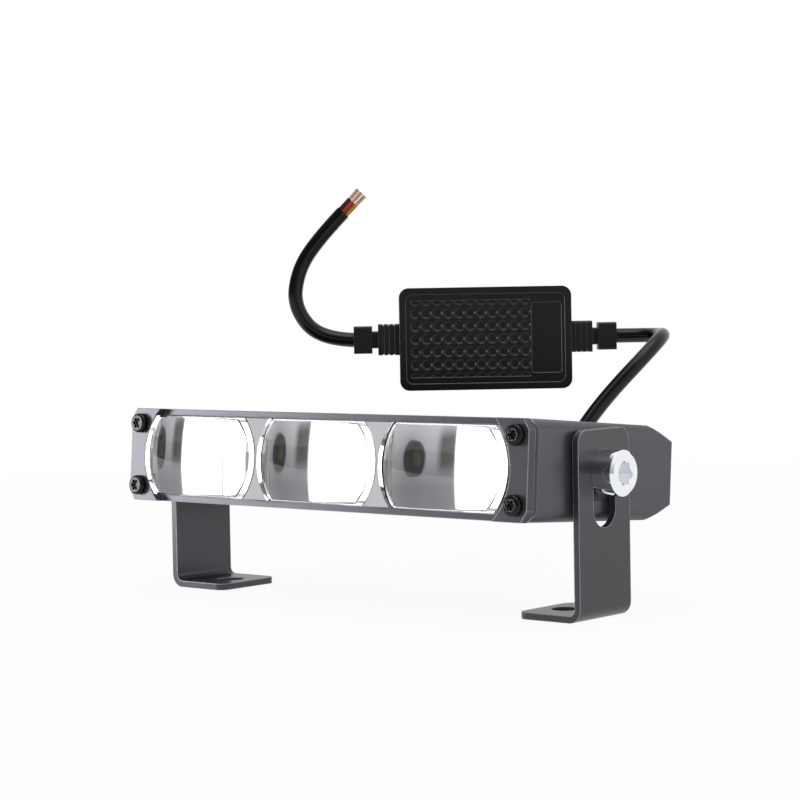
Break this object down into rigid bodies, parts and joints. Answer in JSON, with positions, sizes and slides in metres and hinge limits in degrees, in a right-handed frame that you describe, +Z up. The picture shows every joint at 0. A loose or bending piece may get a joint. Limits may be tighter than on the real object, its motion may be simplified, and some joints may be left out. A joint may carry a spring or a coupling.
{
  "type": "auxiliary driving light",
  "caption": "Slim dark driving light with bulging clear lenses in a row, slotted L-brackets on pivot bolts, and an in-line driver box on short leads.",
  "frame": {"origin": "on the ground under the middle of the lamp and its brackets, without the leads and driver box", "axes": "+X along the row of lenses to the lamp's right end as seen from the front, -Y the way the lenses look, +Z up"},
  "size_m": [0.1748, 0.1495, 0.127],
  "materials": {
    "body_coat": "dark satin anodised",
    "bracket_coat": "satin black powder coat on steel sheet",
    "zinc": "bright zinc plate",
    "black_steel": "black oxide",
    "lens_glass": "polished clear",
    "silver_trim": "satin silver",
    "tray_white": "satin white",
    "silicone": "matte",
    "circuit_board": "solder mask",
    "emitter_black": "matte",
    "phosphor": "matte phosphor",
    "thermal_grey": "matte",
    "bush_nylon": "matte",
    "case_plastic": "satin moulded",
    "component_grey": "matte",
    "relief_rubber": "matte",
    "lead_jacket": "satin",
    "core_black": "satin",
    "core_red": "satin",
    "core_yellow": "satin",
    "copper": "bare copper"
  },
  "bodies": {
    "lamp": {"housing": "body_coat", "end_cap_left": "body_coat", "clamp_plate_left": "body_coat", "clamp_screws_left": "black_steel", "pivot_bolt_left": "zinc", "end_cap_right": "body_coat", "clamp_plate_right": "body_coat", "clamp_screws_right": "black_steel", "pivot_bolt_right": "zinc", "lens_left": "lens_glass", "emitter_left": "emitter_black", "lens_centre": "lens_glass", "emitter_centre": "emitter_black", "lens_right": "lens_glass", "emitter_right": "emitter_black", "lens_spacer_left": "silver_trim", "lens_spacer_right": "silver_trim", "lens_gaskets": "silicone", "reflector_tray": "tray_white", "led_board": "circuit_board", "led_chips": "phosphor", "thermal_pad": "thermal_grey", "board_screws": "black_steel", "cable_gland": "silicone", "driver_case": "case_plastic", "driver_cover": "case_plastic", "driver_board": "circuit_board", "driver_parts": "component_grey", "relief_lamp": "relief_rubber", "relief_power": "relief_rubber", "lamp_lead": "lead_jacket", "power_lead": "lead_jacket", "core_black": "core_black", "core_red": "core_red", "core_yellow": "core_yellow", "strand_black": "copper", "strand_red": "copper", "strand_yellow": "copper"},
    "bush_left": {"slot_bush_left": "bush_nylon"},
    "bracket_left": {"bracket_left": "bracket_coat"},
    "bush_right": {"slot_bush_right": "bush_nylon"},
    "bracket_right": {"bracket_right": "bracket_coat"}
  },
  "joints": [
    {"name": "aim_left", "type": "hinge", "parent": "lamp", "child": "bush_left", "pos_m": [-0.0785, -0.0068, 0.0413], "axis": [1, 0, 0], "range_deg": [-30, 30]},
    {"name": "height_left", "type": "slide", "parent": "bush_left", "child": "bracket_left", "axis": [0, 0, 1], "range_m": [-0.0012, 0.01]},
    {"name": "aim_right", "type": "hinge", "parent": "lamp", "child": "bush_right", "pos_m": [0.0785, -0.0068, 0.0413], "axis": [1, 0, 0], "range_deg": [-30, 30]},
    {"name": "height_right", "type": "slide", "parent": "bush_right", "child": "bracket_right", "axis": [0, 0, 1], "range_m": [-0.0012, 0.01]}
  ]
}
